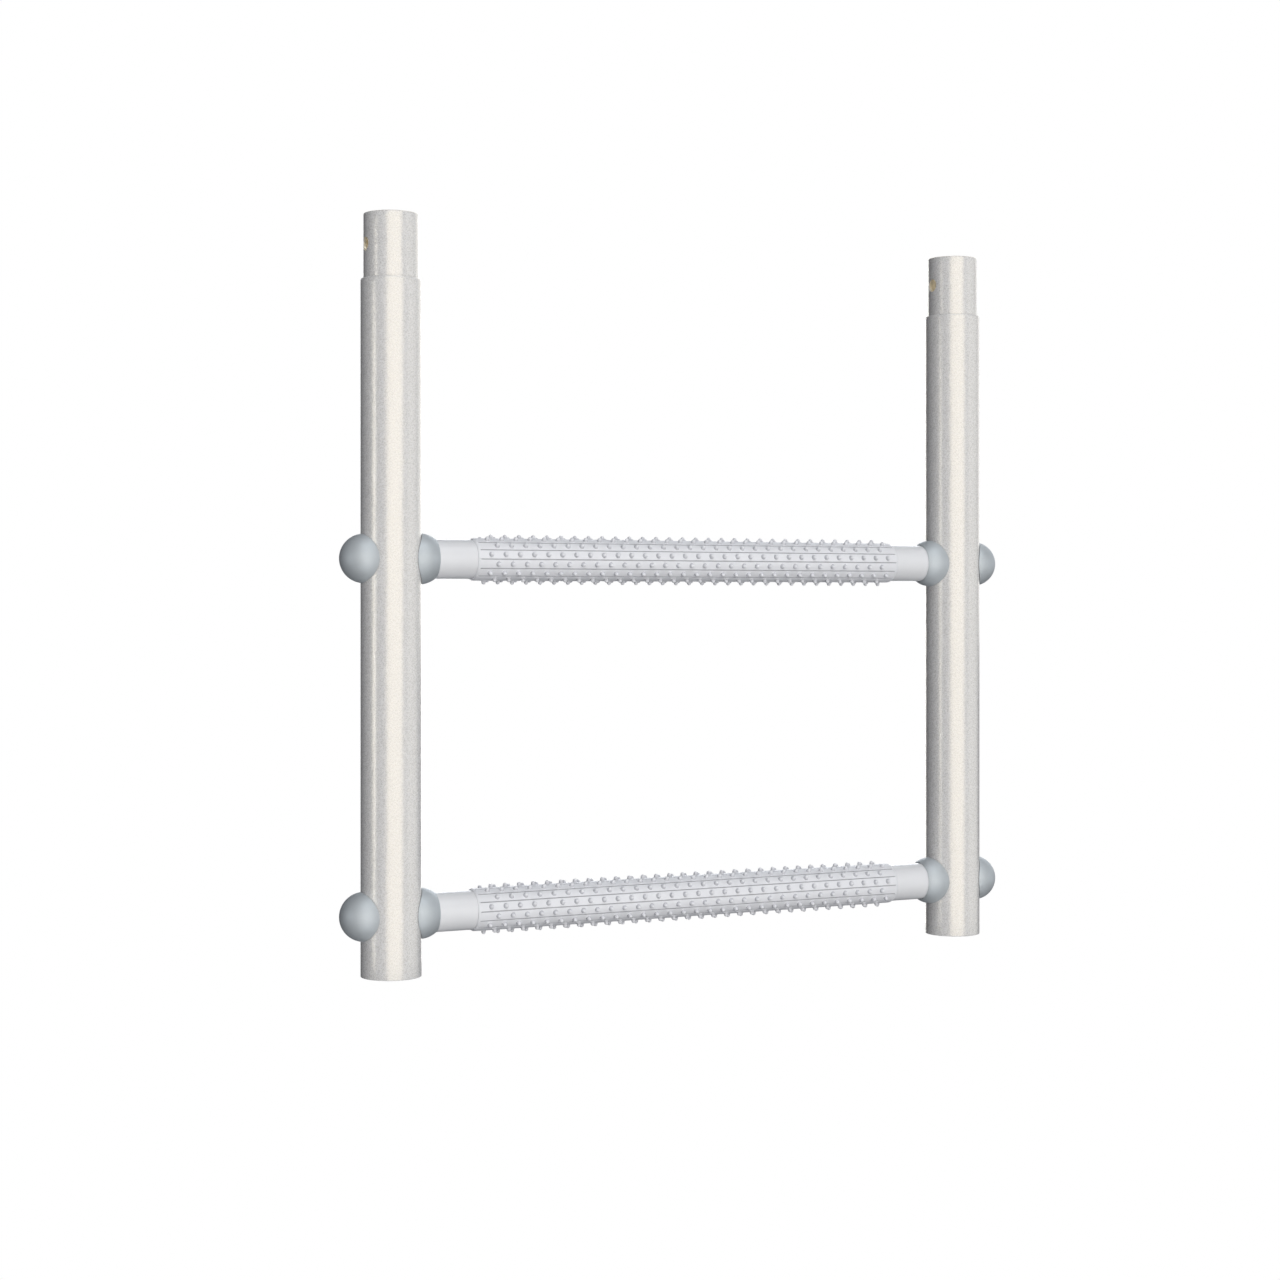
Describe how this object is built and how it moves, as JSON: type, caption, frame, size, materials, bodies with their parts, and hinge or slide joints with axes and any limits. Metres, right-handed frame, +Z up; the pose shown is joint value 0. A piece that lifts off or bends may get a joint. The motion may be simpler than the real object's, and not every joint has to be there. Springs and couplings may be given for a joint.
{
  "type": "monkey bar ladder section",
  "caption": "Plug-together ladder section of a climbing frame: tubular uprights with spigots, nubbed grip rungs, ball collars and ball caps.",
  "frame": {"origin": "middle of the base: half way between the uprights' axes, level with their lower ends", "axes": "+X along the rungs, to the right seen from the front; -Y towards the front; +Z up along the uprights"},
  "size_m": [0.5386, 0.042, 0.527],
  "materials": {
    "pearl_silver_coat": "satin pearl silver powder coat with fine speckles",
    "light_grey_coat": "smooth glossy light grey paint",
    "light_grey_rubber": "matt light grey rubber with grooves and nubs",
    "blue_grey_plastic": "smooth satin blue-grey moulded plastic",
    "zinc_plated_steel": "bright zinc plate"
  },
  "bodies": {
    "root": {"left_upright_tube": "pearl_silver_coat", "left_spigot_tube": "pearl_silver_coat", "left_lower_collar": "blue_grey_plastic", "left_lower_cap": "blue_grey_plastic", "left_lower_cap_seat": "blue_grey_plastic", "left_lower_washer": "zinc_plated_steel", "left_lower_bolt": "zinc_plated_steel", "left_lower_threaded_plug": "zinc_plated_steel", "left_upper_collar": "blue_grey_plastic", "left_upper_cap": "blue_grey_plastic", "left_upper_cap_seat": "blue_grey_plastic", "left_upper_washer": "zinc_plated_steel", "left_upper_bolt": "zinc_plated_steel", "left_upper_threaded_plug": "zinc_plated_steel", "right_upright_tube": "pearl_silver_coat", "right_spigot_tube": "pearl_silver_coat", "right_lower_collar": "blue_grey_plastic", "right_lower_cap": "blue_grey_plastic", "right_lower_cap_seat": "blue_grey_plastic", "right_lower_washer": "zinc_plated_steel", "right_lower_bolt": "zinc_plated_steel", "right_lower_threaded_plug": "zinc_plated_steel", "right_upper_collar": "blue_grey_plastic", "right_upper_cap": "blue_grey_plastic", "right_upper_cap_seat": "blue_grey_plastic", "right_upper_washer": "zinc_plated_steel", "right_upper_bolt": "zinc_plated_steel", "right_upper_threaded_plug": "zinc_plated_steel", "lower_rung_tube": "light_grey_coat", "lower_rung_grip": "light_grey_rubber", "upper_rung_tube": "light_grey_coat", "upper_rung_grip": "light_grey_rubber"}
  },
  "joints": []
}
